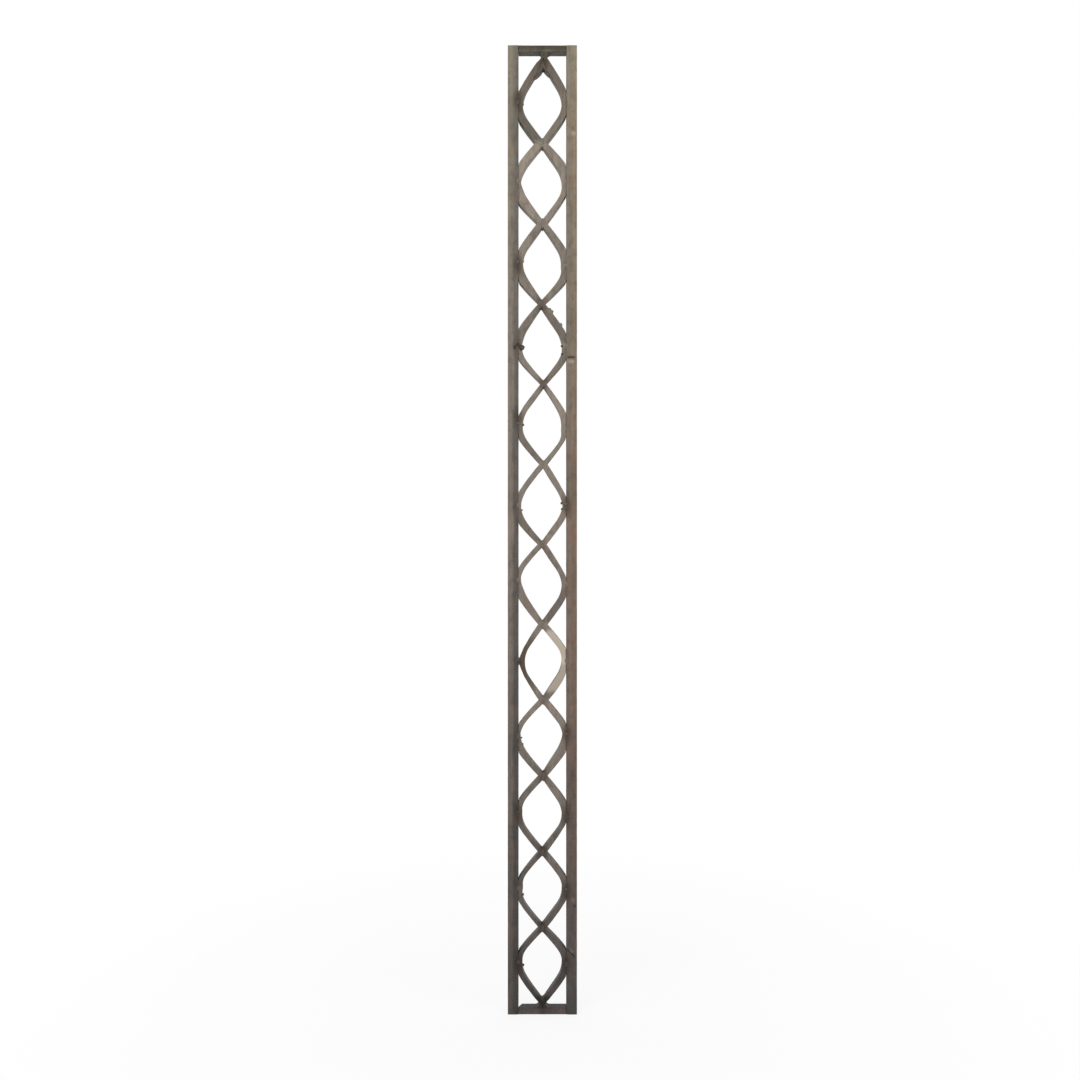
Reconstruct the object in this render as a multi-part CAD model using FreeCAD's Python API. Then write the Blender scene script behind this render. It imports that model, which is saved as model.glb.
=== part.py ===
import FreeCAD, Part
import math
import os

# Iron stair baluster: a narrow welded panel. Two square uprights and two flat end bars make
# the frame. Two wavy flat bars stand on edge inside it and cross on the centre line, halved
# into each other, so that they enclose a row of pointed oval cells.
# Millimetres. +Z is up, the width runs along X and the front faces -Y. The origin is the
# middle of the foot.

# Frame
overall_height = 900.0
overall_width = 64.4
upright_width = 10.0
panel_depth = 10.0
top_bar_thickness = 6.0
bottom_bar_thickness = 6.0
upright_edge_radius = 0.9
end_bar_edge_radius = 0.6
corner_slit_width = 3.3
corner_slit_drop = 5.0

# Wave bars
wave_thickness = 4.2
straight_share = 0.56
top_stem_length = 8.5
bottom_stem_length = 6.0
first_meeting_drop = 9.7
last_meeting_rise = 3.2
usual_cell_height = 73.0
lower_cell_count = 5
lower_cell_shortfall = 4.1

# Hand bending, cell by cell from the top: how far each bend sits above the middle of its
# cell, how far each crossing sits off the centre line, and the slack at the bends that
# don't reach their upright.
left_bend_shift = [0, 2, 1, -2, 1, -1, 4, 1, 2, 1, 2, 4]
right_bend_shift = [0, 0, -2, -2, -5, -1, 0, 2, 3, -1, 0, 2]
crossing_shift = [0, 0, -1, 1, 1, 0, 0, 1, 1, 0, 0]
left_slack = {8: 1.8}
right_slack = {3: 0.8, 5: 0.6}

# Welds
crossing_weld_radius = 3.0
crossing_weld_rise = 0.7
tack_radius = 2.4
tack_rise = 0.7
crown_share = 0.55
bead_sides = 8
seam_start = 3.0
seam_length = 10.0
top_left_fillet = 1.2
top_right_fillet = 3.0
foot_fillet = 3.5
top_crotch_weld = 4.0
foot_crotch_weld = 2.0
crotch_clearance = 0.3

# Spatter and knobs on the front, by cell: distance outward from the inner face of the bend,
# height above the bend, and radius
left_beads = {
    1: [(0.2, -2.0, 1.2)],
    3: [(0.0, 0.5, 1.0)],
    4: [(1.4, -1.5, 2.8)],
    5: [(0.0, -2.0, 1.2)],
    6: [(0.2, -4.5, 1.0)],
    9: [(0.0, -1.0, 0.9), (0.0, -7.0, 0.9)],
}
right_beads = {
    4: [(0.2, -0.5, 1.1), (0.4, -8.0, 1.0)],
    6: [(0.0, 2.0, 1.3), (0.2, -3.5, 1.1)],
    9: [(7.6, 7.0, 1.0)],
    10: [(7.6, -0.5, 1.1)],
    12: [(9.2, 7.5, 1.4)],
}
bead_rise_share = 0.4
bead_bury_share = 1.2

half_opening = overall_width / 2 - upright_width
front = -panel_depth / 2
left = -1
right = 1


def point(across, height):
    """A point in the middle plane of the panel."""
    return FreeCAD.Vector(across, 0, height)


def soften_long_edges(bar, run, radius):
    """Round the edges of a bar that follow the direction it runs in."""
    long_edges = [edge for edge in bar.Edges if abs(edge.tangentAt(edge.FirstParameter).dot(run)) > 0.999]
    return bar.makeFillet(radius, long_edges)


def make_upright(side):
    """Square bar of the full height, at the left or the right."""
    middle = side * (half_opening + upright_width / 2)
    corner = FreeCAD.Vector(middle - upright_width / 2, front, 0)
    bar = Part.makeBox(upright_width, panel_depth, overall_height, corner)
    return soften_long_edges(bar, FreeCAD.Vector(0, 0, 1), upright_edge_radius)


def make_top_bar():
    """Flat bar between the heads of the uprights."""
    corner = FreeCAD.Vector(-half_opening, front, overall_height - top_bar_thickness)
    bar = Part.makeBox(2 * half_opening, panel_depth, top_bar_thickness, corner)
    return soften_long_edges(bar, FreeCAD.Vector(1, 0, 0), end_bar_edge_radius)


def make_bottom_bar():
    """Flat bar between the feet of the uprights, with its left end cut short at the top."""
    outline = Part.makePolygon([
        FreeCAD.Vector(-half_opening, front, 0),
        FreeCAD.Vector(half_opening, front, 0),
        FreeCAD.Vector(half_opening, front, bottom_bar_thickness),
        FreeCAD.Vector(-half_opening + corner_slit_width, front, bottom_bar_thickness),
        FreeCAD.Vector(-half_opening, front, bottom_bar_thickness - corner_slit_drop),
        FreeCAD.Vector(-half_opening, front, 0),
    ])
    bar = Part.Face(outline).extrude(FreeCAD.Vector(0, panel_depth, 0))
    return soften_long_edges(bar, FreeCAD.Vector(1, 0, 0), end_bar_edge_radius)


def meeting_heights():
    """Heights that part the cells, from the top stem down to the bottom stem.

    The two centre lines cross at each of them but the first and the last.
    """
    highest = overall_height - top_bar_thickness - first_meeting_drop
    lowest = bottom_bar_thickness + last_meeting_rise
    cell_count = round((highest - lowest) / usual_cell_height)
    upper_cell_height = (highest - lowest + lower_cell_count * lower_cell_shortfall) / cell_count
    heights = [highest]
    for cell in range(cell_count):
        is_lower = cell >= cell_count - lower_cell_count
        cell_height = upper_cell_height - (lower_cell_shortfall if is_lower else 0)
        heights.append(heights[-1] - cell_height)
    return heights


def from_list(values, place):
    """The value of a hand-bending list at a place, starting over past its end."""
    return values[place % len(values)]


def arm_angle(across, along):
    """Angle from upright of a straight arm that runs on into an arc and ends upright.

    The arm and its arc together cover the two distances, and the arm is straight over the
    straight share of the height. The angle is found by halving the range that holds it.
    """
    flattest, steepest = math.pi / 2, 0.0
    while flattest - steepest > 1e-12:
        angle = (flattest + steepest) / 2
        arc_width = (1 - straight_share) * along * math.tan(angle / 2)
        if arc_width + straight_share * along * math.tan(angle) > across:
            flattest = angle
        else:
            steepest = angle
    return angle


class Bend:
    """One bend of a wave bar, with a straight arm above and below it.

    Each half of the bend has its own radius, so that both are upright where they meet.
    """

    def __init__(self, side, cell, corner_above, corner_below, height):
        slack = (left_slack if side == left else right_slack).get(cell + 1, 0)
        self.side = side
        self.cell = cell + 1
        self.reach = half_opening - wave_thickness / 2 - slack
        self.apex = point(side * self.reach, height)
        self.angle = {}
        self.radius = {}
        for level, corner in ((1, corner_above), (-1, corner_below)):
            along = abs(corner.z - height)
            angle = arm_angle(abs(corner.x - self.apex.x), along)
            self.angle[level] = angle
            self.radius[level] = (1 - straight_share) * along / math.sin(angle)

    def normal(self, level, angle):
        """Unit vector square to the bar above (1) or below (-1) the apex, pointing right."""
        return point(math.cos(angle), self.side * level * math.sin(angle))

    def arm_normal(self, level):
        """The same for the straight arm."""
        return self.normal(level, self.angle[level])

    def arc_point(self, level, angle, offset):
        """A point of the arc where it leans by an angle, to the right of the centre line."""
        radius = self.radius[level]
        centre = self.apex - point(self.side * radius, 0)
        return centre + self.normal(level, angle) * (self.side * (radius + self.side * offset))

    def arc(self, level, offset):
        """The half arc above or below the apex, to the right of the centre line."""
        angles = [self.angle[level], self.angle[level] / 2, 0]
        return Part.Arc(*[self.arc_point(level, angle, offset) for angle in angles]).toShape()


def wave_corners(first_side, heights):
    """Points where a centre line changes arm: the two stem ends and each crossing."""
    cell_count = len(heights) - 1
    last_side = first_side * (-1) ** (cell_count - 1)
    highest = overall_height - top_bar_thickness - top_stem_length
    lowest = bottom_bar_thickness + bottom_stem_length
    corners = [point(first_side * wave_thickness / 2, highest)]
    for crossing in range(cell_count - 1):
        corners.append(point(from_list(crossing_shift, crossing), heights[crossing + 1]))
    corners.append(point(last_side * wave_thickness / 2, lowest))
    return corners


def wave_bends(first_side, heights, corners):
    """One bend in each cell, on alternate sides."""
    bends = []
    for cell in range(len(heights) - 1):
        side = first_side * (-1) ** cell
        shift = from_list(left_bend_shift if side == left else right_bend_shift, cell)
        height = (heights[cell] + heights[cell + 1]) / 2 + shift
        bends.append(Bend(side, cell, corners[cell], corners[cell + 1], height))
    return bends


def mitre(corner, normal_above, normal_below, offset):
    """Where the side faces of two runs meet, at a distance to the right of their corner."""
    share = offset / (1 + normal_above.dot(normal_below))
    return corner + (normal_above + normal_below) * share


def wave_side(corners, bends, offset):
    """Edges of one side of a wave bar, from the top bar to the bottom bar."""
    stem_normal = FreeCAD.Vector(1, 0, 0)
    normals_before = [stem_normal] + [bend.arm_normal(-1) for bend in bends]
    normals_after = [bend.arm_normal(1) for bend in bends] + [stem_normal]
    turns = [
        mitre(corner, before, after, offset)
        for corner, before, after in zip(corners, normals_before, normals_after)
    ]
    top_end = point(turns[0].x, overall_height - top_bar_thickness)
    edges = [Part.makeLine(top_end, turns[0])]
    for bend, turn_above, turn_below in zip(bends, turns, turns[1:]):
        for level, turn in ((1, turn_above), (-1, turn_below)):
            edges.append(Part.makeLine(turn, bend.arc_point(level, bend.angle[level], offset)))
            edges.append(bend.arc(level, offset))
    bottom_end = point(turns[-1].x, bottom_bar_thickness)
    edges.append(Part.makeLine(turns[-1], bottom_end))
    return edges, top_end, bottom_end


def make_wave_bar(corners, bends):
    """Flat bar on edge, bent to and fro between the uprights."""
    left_edges, top_left, bottom_left = wave_side(corners, bends, -wave_thickness / 2)
    right_edges, top_right, bottom_right = wave_side(corners, bends, wave_thickness / 2)
    ends = [Part.makeLine(top_left, top_right), Part.makeLine(bottom_left, bottom_right)]
    return across_the_depth(left_edges + right_edges + ends, panel_depth)


def halve_crossings(first_bar, second_bar):
    """Cut each bar to half its depth where they cross, so that both stay flush.

    The first bar passes in front at the first crossing, behind at the next, and so on.
    """
    front_space = Part.makeBox(
        overall_width, panel_depth, overall_height, FreeCAD.Vector(-overall_width / 2, -panel_depth, 0)
    )
    crossings = sorted(first_bar.common(second_bar).Solids, key=lambda solid: -solid.CenterOfMass.z)
    first_notches = []
    second_notches = []
    for place, crossing in enumerate(crossings):
        front_part = crossing.common(front_space)
        back_part = crossing.cut(front_space)
        first_in_front = place % 2 == 0
        first_notches.append(back_part if first_in_front else front_part)
        second_notches.append(front_part if first_in_front else back_part)
    return first_bar.cut(first_notches), second_bar.cut(second_notches)


def weld_bead(seat, radius, rise, towards):
    """Low many-sided bead: full width at its seat, narrower at its crown.

    It stands towards the front (-1) or the back (1).
    """
    rings = []
    for share, height in ((1, 0), (crown_share, rise)):
        corners = []
        for corner in range(bead_sides):
            turn = 2 * math.pi * (corner + 0.5) / bead_sides
            outward = point(math.cos(turn), math.sin(turn)) * (radius * share)
            corners.append(seat + outward + FreeCAD.Vector(0, towards * height, 0))
        rings.append(Part.makePolygon(corners + corners[:1]))
    return Part.makeLoft(rings, True, True)


def make_crossing_welds(corners):
    """A bead on the front and the back of each crossing."""
    welds = []
    for corner in corners[1:-1]:
        for face in (-1, 1):
            seat = FreeCAD.Vector(corner.x, face * panel_depth / 2, corner.z)
            welds.append(weld_bead(seat, crossing_weld_radius, crossing_weld_rise, face))
    return welds


def make_seam(bend, level):
    """Weld run in the narrow wedge between a bend and its upright, above or below the contact."""
    outer_radius = bend.radius[level] + wave_thickness / 2
    wall = bend.side * half_opening
    rises = [seam_start, seam_start + seam_length / 2, seam_start + seam_length]
    angles = [math.asin(rise / outer_radius) for rise in rises]
    near, middle, far = [bend.arc_point(level, angle, bend.side * wave_thickness / 2) for angle in angles]
    edges = [
        Part.Arc(near, middle, far).toShape(),
        Part.makeLine(far, point(wall, far.z)),
        Part.makeLine(point(wall, far.z), point(wall, near.z)),
        Part.makeLine(point(wall, near.z), near),
    ]
    depth = panel_depth - 2 * upright_edge_radius
    return across_the_depth(edges, depth)


def across_the_depth(edges, depth):
    """Solid of a closed outline, carried through the panel to equal depths front and back."""
    solid = Part.Face(Part.Wire(Part.__sortEdges__(edges))).extrude(FreeCAD.Vector(0, depth, 0))
    solid.translate(FreeCAD.Vector(0, -depth / 2, 0))
    return solid


def make_contact_welds(bends):
    """Tacks over each contact with an upright, and seams in the wedges beside it."""
    welds = []
    for bend in bends:
        for face in (-1, 1):
            seat = FreeCAD.Vector(bend.side * half_opening, face * panel_depth / 2, bend.apex.z)
            welds.append(weld_bead(seat, tack_radius, tack_rise, face))
        for level in (1, -1):
            welds.append(make_seam(bend, level))
    return welds


def make_stem_fillet(side, wall, shelf, radius, level):
    """Hollow weld run in the corner between a stem and the end bar above or below it."""
    corner = point(wall, shelf)
    foot = point(wall + side * radius, shelf)
    head = point(wall, shelf + level * radius)
    hollow = math.sqrt(0.5)
    middle = point(wall + side * radius * (1 - hollow), shelf + level * radius * (1 - hollow))
    edges = [Part.makeLine(corner, foot), Part.Arc(foot, middle, head).toShape(), Part.makeLine(head, corner)]
    return across_the_depth(edges, panel_depth - 2 * end_bar_edge_radius)


def make_crotch_weld(bends, corners, level, height):
    """Weld in the narrow crotch where the two stems part, rising (1) or falling (-1) from there."""
    stem_normal = FreeCAD.Vector(1, 0, 0)
    sides = []
    for bend, corner in zip(bends, corners):
        inward = -bend.side * wave_thickness / 2
        part = mitre(corner, stem_normal, bend.arm_normal(-level), inward)
        sides.append((bend, part))
    start = level * max(level * part.z for _, part in sides) + level * crotch_clearance
    outline = []
    for bend, part in sides:
        slope = bend.side * math.tan(bend.angle[-level])
        edge = [point(part.x + slope * abs(z - part.z), z) for z in (start, start + level * height)]
        outline.append(edge)
    (near_first, far_first), (near_second, far_second) = outline
    edges = Part.makePolygon([near_first, far_first, far_second, near_second, near_first]).Edges
    return across_the_depth(edges, panel_depth - 2 * end_bar_edge_radius)


def make_stem_welds(first_bends, second_bends, first_corners, second_corners):
    """Weld runs where the stems stand against the end bars, and in the crotch between them."""
    ceiling = overall_height - top_bar_thickness
    top_bends, top_corners = (first_bends[0], second_bends[0]), (first_corners[0], second_corners[0])
    foot_bends, foot_corners = (first_bends[-1], second_bends[-1]), (first_corners[-1], second_corners[-1])
    top_welds = [
        make_stem_fillet(left, -wave_thickness, ceiling, top_left_fillet, -1),
        make_stem_fillet(right, wave_thickness, ceiling, top_right_fillet, -1),
        make_crotch_weld(top_bends, top_corners, -1, top_crotch_weld),
    ]
    bottom_welds = [
        make_stem_fillet(side, side * wave_thickness, bottom_bar_thickness, foot_fillet, 1)
        for side in (left, right)
    ]
    bottom_welds.append(make_crotch_weld(foot_bends, foot_corners, 1, foot_crotch_weld))
    return top_welds, bottom_welds


def make_beads(places, bends, neighbours):
    """Spatter and knobs beside the bends of one upright, seated on the metal they stuck to."""
    bend_of_cell = {bend.cell: bend for bend in bends}
    beads = []
    for cell, spots in places.items():
        bend = bend_of_cell[min(round(cell), len(bends))]
        for outward, rise_above, radius in spots:
            across = bend.side * (bend.reach - wave_thickness / 2 + outward)
            foot = FreeCAD.Vector(across, front + radius * bead_bury_share, bend.apex.z + rise_above)
            bead = weld_bead(foot, radius, radius * (bead_bury_share + bead_rise_share), -1)
            touching = [solid for solid in neighbours if solid.BoundBox.intersect(bead.BoundBox)]
            beads.append(bead.cut(touching))
    return beads


def build():
    """Every piece of the baluster, by the name of its node."""
    heights = meeting_heights()
    first_corners = wave_corners(left, heights)
    second_corners = wave_corners(right, heights)
    first_bends = wave_bends(left, heights, first_corners)
    second_bends = wave_bends(right, heights, second_corners)
    first_wave, second_wave = halve_crossings(
        make_wave_bar(first_corners, first_bends),
        make_wave_bar(second_corners, second_bends),
    )
    bars = {
        "left_upright": make_upright(left),
        "right_upright": make_upright(right),
        "top_bar": make_top_bar(),
        "bottom_bar": make_bottom_bar(),
        "wave_bar_left_start": first_wave,
        "wave_bar_right_start": second_wave,
    }
    every_bend = first_bends + second_bends
    left_bends = [bend for bend in every_bend if bend.side == left]
    right_bends = [bend for bend in every_bend if bend.side == right]
    top_welds, bottom_welds = make_stem_welds(first_bends, second_bends, first_corners, second_corners)
    welds = {
        "crossing_welds": make_crossing_welds(first_corners),
        "left_contact_welds": make_contact_welds(left_bends),
        "right_contact_welds": make_contact_welds(right_bends),
        "top_stem_welds": top_welds,
        "bottom_stem_welds": bottom_welds,
    }
    neighbours = list(bars.values()) + [weld for group in welds.values() for weld in group]
    welds["left_weld_beads"] = make_beads(left_beads, left_bends, neighbours)
    welds["right_weld_beads"] = make_beads(right_beads, right_bends, neighbours)
    pieces = dict(bars)
    for name, group in welds.items():
        pieces[name] = Part.makeCompound(group)
    return pieces


def main():
    os.makedirs("parts", exist_ok=True)
    for name, shape in build().items():
        shape.exportStep("parts/" + name + ".step")


main()
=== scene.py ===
import math

import bmesh
import bpy
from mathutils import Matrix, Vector, noise


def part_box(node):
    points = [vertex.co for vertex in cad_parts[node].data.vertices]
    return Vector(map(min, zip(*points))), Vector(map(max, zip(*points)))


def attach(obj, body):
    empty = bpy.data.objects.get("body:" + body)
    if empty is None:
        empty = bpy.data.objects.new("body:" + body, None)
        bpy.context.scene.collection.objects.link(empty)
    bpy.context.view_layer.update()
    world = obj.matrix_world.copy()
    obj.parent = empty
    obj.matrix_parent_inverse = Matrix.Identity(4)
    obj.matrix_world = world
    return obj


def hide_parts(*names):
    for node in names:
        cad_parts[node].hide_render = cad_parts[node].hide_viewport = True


bl_info = {
    "name": "Iron stair baluster",
    "version": (1, 0, 0),
    "blender": (4, 5, 0),
    "location": "3D View > Sidebar > Baluster",
    "description": "Makes a welded iron stair baluster with two crossing wavy bars, and a plain stage",
    "category": "Add Mesh",
}

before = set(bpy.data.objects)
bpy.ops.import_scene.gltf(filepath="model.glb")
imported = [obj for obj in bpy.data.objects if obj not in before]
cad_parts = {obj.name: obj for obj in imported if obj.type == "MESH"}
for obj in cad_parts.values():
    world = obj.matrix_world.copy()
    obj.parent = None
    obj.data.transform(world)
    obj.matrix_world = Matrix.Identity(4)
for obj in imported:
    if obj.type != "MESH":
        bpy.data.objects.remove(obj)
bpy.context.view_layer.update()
upright_low, upright_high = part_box("left_upright")
head_bar_low, head_bar_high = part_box("top_bar")
_, foot_bar_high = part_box("bottom_bar")

mm = 0.001
left = -1
right = 1
above = 1
below = -1

# The frame, in millimetres, as the solids have it. +Z is up and the front faces -Y.
panel_height = upright_high.z / mm
panel_depth = (upright_high.y - upright_low.y) / mm
upright_width = (upright_high.x - upright_low.x) / mm
half_opening = head_bar_high.x / mm
ceiling = head_bar_low.z / mm
shelf = foot_bar_high.z / mm
front = -panel_depth / 2

# The run of the wave bars, in millimetres, as the solids have it
wave_thickness = 4.2
straight_share = 0.56
top_stem_length = 8.5
bottom_stem_length = 6.0
first_meeting_drop = 9.7
last_meeting_rise = 3.2
usual_cell_height = 73.0
lower_cell_count = 5
lower_cell_shortfall = 4.1
crossing_shifts = [0, 0, -1, 1, 1, 0, 0, 1, 1, 0, 0]
bend_shifts = {
    left: [0, 2, 1, -2, 1, -1, 4, 1, 2, 1, 2, 4],
    right: [0, 0, -2, -2, -5, -1, 0, 2, 3, -1, 0, 2],
}
# How far some bends stay short of their upright, by side and cell
slacks = {(left, 8): 1.8, (right, 3): 0.8, (right, 5): 0.6}

# What the hammer and the welds did to the run, in millimetres, from the top down. Each bend has
# an arm above it and an arm below it. First how far from the bend an arm's outer face leaves the
# upright.
tips = {
    (left, above): [10, 16, 12, 16, 7, 12, 12, 0, 11, 12, 9, 9],
    (left, below): [16, 21, 18, 13, 15, 17, 17, 0, 15, 12, 12, 12],
    (right, above): [12, 17, 15, 12, 15, 8, 7, 11, 11, 13, 12, 13],
    (right, below): [12, 11, 15, 13, 8, 11, 12, 11, 15, 7, 9, 11],
}
# How far out from the middle the outer faces meet, at the top stem, at each crossing and at the
# bottom stem. None leaves an arm as it was rolled.
necks = {
    left: [None, 6.8, 4.8, 2.7, 2.7, 3.9, 4.6, 3.9, 4.1, 4.3, 3.5, 2.8, None],
    right: [4.5, 4.5, 4.3, 3.3, 2.7, 3.8, 4.2, 4.8, 4.4, 3.2, 4.0, 3.7, None],
}
# How an arm's outer face curves from the upright to the crossing: 1 is straight, more is bulged
usual_curve = 1.12
curves = {(left, above, 8): 1.3, (left, below, 8): 1.3, (right, below, 8): 1.35}
# How far the face towards the cell stands further out than the rolled bar's, at mid arm
inners = {
    (left, above): [-1.2, 1.0, -0.5, 0.4, -0.8, 1.2, 1.8, 0, 2.4, 2.0, 1.7, 1.2],
    (left, below): [0.9, 1.0, 0, 1.4, 1.7, 2.0, 0.5, 0.8, 1.8, 1.7, 2.5, 1.5],
    (right, above): [-0.7, -0.5, 1.0, -1.1, 1.4, -1.0, -1.2, 0, 0, 0, 1.1, 1.1],
    (right, below): [0, 1.0, 1.9, 1.0, 1.5, -0.4, 0, -0.8, -0.7, 0, 0, 0],
}
# How much thinner than the rolled bar each bend is hammered
thinnings = {
    left: [0, 1.8, 0, 0.8, 0, 1.7, 1.9, 0, 2.2, 0.6, 0, 0.4],
    right: [0, 0, 0, 0, 0, 0.8, 0, 0, 0.6, 0, 0, 0],
}

# What the heat did, from the top down: each contact and each crossing is burnt a little, plainly
# or heavily
little, plainly, heavily = 0.25, 0.5, 0.85
burns = {
    left: [heavily, little, heavily, plainly, heavily, little, little, plainly, plainly, heavily,
           little, heavily],
    right: [little, little, little, little, little, heavily, little, little, heavily, heavily,
            heavily, heavily],
}
# How far above its contact some burns have their middle, by side and cell
burn_rises = {
    (left, 1): 3, (left, 3): -2, (left, 5): 5, (left, 11): 7,
    (right, 1): -6, (right, 3): -6, (right, 4): 4, (right, 5): 7, (right, 8): 5, (right, 9): 2,
}
crossing_burns = [little, little, heavily, heavily, little, plainly, little, plainly, heavily,
                  heavily, heavily]
# Each arm is by chance a little lighter or darker than its neighbours, as rolled scale is
usual_shade = -0.1
shade_spread = 0.4
shade_step = 1.37
# Heat runs along a bar, so a distance up or down counts for this share of one across
heat_run = 0.45


def linear_colour(code):
    """An sRGB hex colour as the linear values that a shader takes."""
    channels = [int(code[start:start + 2], 16) / 255 for start in (1, 3, 5)]
    return [c / 12.92 if c <= 0.04045 else ((c + 0.055) / 1.055) ** 2.4 for c in channels] + [1.0]


# Sizes and colours that a user would change


def number_property(name, description, default, unit="LENGTH", least=0.0):
    """A number that a user may change. Lengths are in metres, shown in the scene's unit."""
    return bpy.props.FloatProperty(
        name=name, description=description, default=default, min=least, unit=unit, precision=5
    )


def colour_property(name, description, code):
    """A colour, given as an sRGB hex code."""
    return bpy.props.FloatVectorProperty(
        name=name, description=description, default=linear_colour(code),
        size=4, min=0, max=1, subtype="COLOR",
    )


class BalusterSizes(bpy.types.PropertyGroup):
    ring_spacing: number_property("Ring spacing", "Distance between the rings of points along a bar", 0.0015)
    upright_edge: number_property("Upright edge", "Radius of the uprights' long edges", 0.0009)
    end_bar_edge: number_property("End bar edge", "Radius of the end bars' long edges", 0.0006)
    wave_edge: number_property("Wave bar edge", "Radius of the wave bars' long edges", 0.0007)
    mill_unevenness: number_property("Unevenness", "How far a rolled face wanders from flat", 0.00012)
    crossing_step: number_property("Crossing step", "How far a crossing's upper bar stands proud", 0.00015)
    contact_bead: number_property("Contact bead", "Radius of the tack at a contact", 0.0024)


class BalusterColours(bpy.types.PropertyGroup):
    rust: colour_property("Rust", "Thin red-brown rust", "#7C5A4A")
    weld: colour_property("Weld", "Burnt weld metal", "#342A21")
    # The pale colour serves as a painted highlight on the fronts of some right arms
    pale: colour_property("Pale", "Bare face where the scale has flaked off", "#BFB2A3")


class StageSettings(bpy.types.PropertyGroup):
    distance: number_property("Camera distance", "From the camera to the front of the panel", 0.95)
    picture_height: number_property("Picture height", "Height that the picture spans at the front", 1.0026)
    camera_height: number_property("Camera height", "Height of the camera above the floor", 0.4406)
    camera_side: number_property("Camera side", "How far right of the middle it stands", -0.0022, least=-1.0)
    sky: number_property("Sky", "Strength of the even light from all round", 0.72, "NONE")
    key_power: number_property("Key light", "Power of the large soft lamp", 17.0, "POWER")
    fill_power: number_property("Fill light", "Power of the weaker lamp", 8.0, "POWER")


# The wave bars' run


def from_list(values, place):
    """The value of a hand-bending list at a place, starting over past its end."""
    return values[place % len(values)]


def meeting_heights():
    """Heights that part the cells, from the top stem down to the bottom stem."""
    highest = ceiling - first_meeting_drop
    lowest = shelf + last_meeting_rise
    cell_count = round((highest - lowest) / usual_cell_height)
    upper_cell_height = (highest - lowest + lower_cell_count * lower_cell_shortfall) / cell_count
    heights = [highest]
    for cell in range(cell_count):
        is_lower = cell >= cell_count - lower_cell_count
        heights.append(heights[-1] - upper_cell_height + (lower_cell_shortfall if is_lower else 0))
    return heights


def smooth(share):
    """0 to 1 without a kink at either end."""
    share = min(max(share, 0.0), 1.0)
    return share * share * (3 - 2 * share)


def arm_angle(across, along):
    """Angle from upright of a straight arm that runs on into an arc and ends upright."""
    halvings = 50
    low, high = 0.0, math.pi / 2
    for _ in range(halvings):
        angle = (low + high) / 2
        bent = (1 - straight_share) * along * math.tan(angle / 2)
        reached = bent + straight_share * along * math.tan(angle)
        low, high = (low, angle) if reached > across else (angle, high)
    return angle


class Arm:
    """A straight arm and the half arc that takes it to its bend, above or below that bend."""

    # How far past the crossing the spread of the outer face dies out inside the other bar
    fade = 3.5
    # How far from the bend its thinning by the hammer dies out
    thinned_reach = 7.0
    # How far from the bend and from the crossing the arm's own tone is complete
    tone_fades = (6.0, 4.0)

    def __init__(self, side, level, cell, apex, corner):
        self.side, self.level, self.cell = side, level, cell
        self.apex_x, self.apex_z = apex
        self.corner_x, self.corner_z = corner
        self.length = abs(self.corner_z - self.apex_z)
        self.angle = arm_angle(abs(self.corner_x - self.apex_x), self.length)
        self.radius = (1 - straight_share) * self.length / math.sin(self.angle)
        self.tip = from_list(tips[side, level], cell - 1)
        self.neck = from_list(necks[side], cell - 1 if level == above else cell)
        self.curve = curves.get((side, level, cell), usual_curve)
        self.inner = from_list(inners[side, level], cell - 1)
        self.thinning = from_list(thinnings[side], cell - 1)
        chance = noise.noise(Vector((cell, side, level)) * shade_step)
        self.shade = usual_shade + shade_spread * chance

    def along(self, height):
        """How far above or below the bend a height lies, counted towards the crossing."""
        return self.level * (height - self.apex_z)

    def holds(self, height):
        return 0 <= self.along(height) <= self.length

    def place(self, height):
        """Middle of the bar at a height, and the turn of its face, with an upright run at 0."""
        rise = self.along(height)
        if rise < self.radius * math.sin(self.angle):
            across = self.apex_x - self.side * (self.radius - math.sqrt(self.radius ** 2 - rise ** 2))
            turn = math.asin(rise / self.radius)
        else:
            across = self.corner_x + self.side * (self.length - rise) * math.tan(self.angle)
            turn = self.angle
        return across, self.side * self.level * turn

    def gap(self, height):
        """Distance between the upright and the outer face, as the bar was rolled."""
        across, turn = self.place(height)
        return half_opening - self.side * across - wave_thickness / 2 / math.cos(turn)

    def spread(self, height):
        """How much further out the outer face stands than the rolled bar's."""
        along = self.along(height)
        if not 0 < along < self.length + self.fade:
            return 0.0
        if along <= self.tip:
            return self.gap(height) * smooth(along / self.tip)
        if along > self.length:
            return self.spread(self.corner_z) * (1 - smooth((along - self.length) / self.fade))
        if self.neck is None:
            neck_gap = self.gap(self.corner_z)
        else:
            neck_gap = half_opening - self.side * self.corner_x - self.neck
        share = (along - self.tip) / (self.length - self.tip)
        return max(self.gap(height) - neck_gap * share ** self.curve, 0.0)

    def inner_shift(self, height):
        """How much further out than the rolled bar's the face towards the cell stands."""
        along = self.along(height)
        if not 0 <= along <= self.length:
            return 0.0
        at_bend = self.thinning * nearness(along, self.thinned_reach)
        return at_bend + self.inner * math.sin(math.pi * along / self.length)

    def cell_reach(self, height):
        """Distance from the centre line to the face towards the cell."""
        across, turn = self.place(height)
        return max(self.side * across - wave_thickness / 2 / math.cos(turn) + self.inner_shift(height), 0.0)

    def tone(self, height):
        """How much lighter or darker the arm is at a height, fading at its ends."""
        along = self.along(height)
        at_bend, at_crossing = self.tone_fades
        return self.shade * smooth(along / at_bend) * smooth((self.length - along) / at_crossing)


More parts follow.
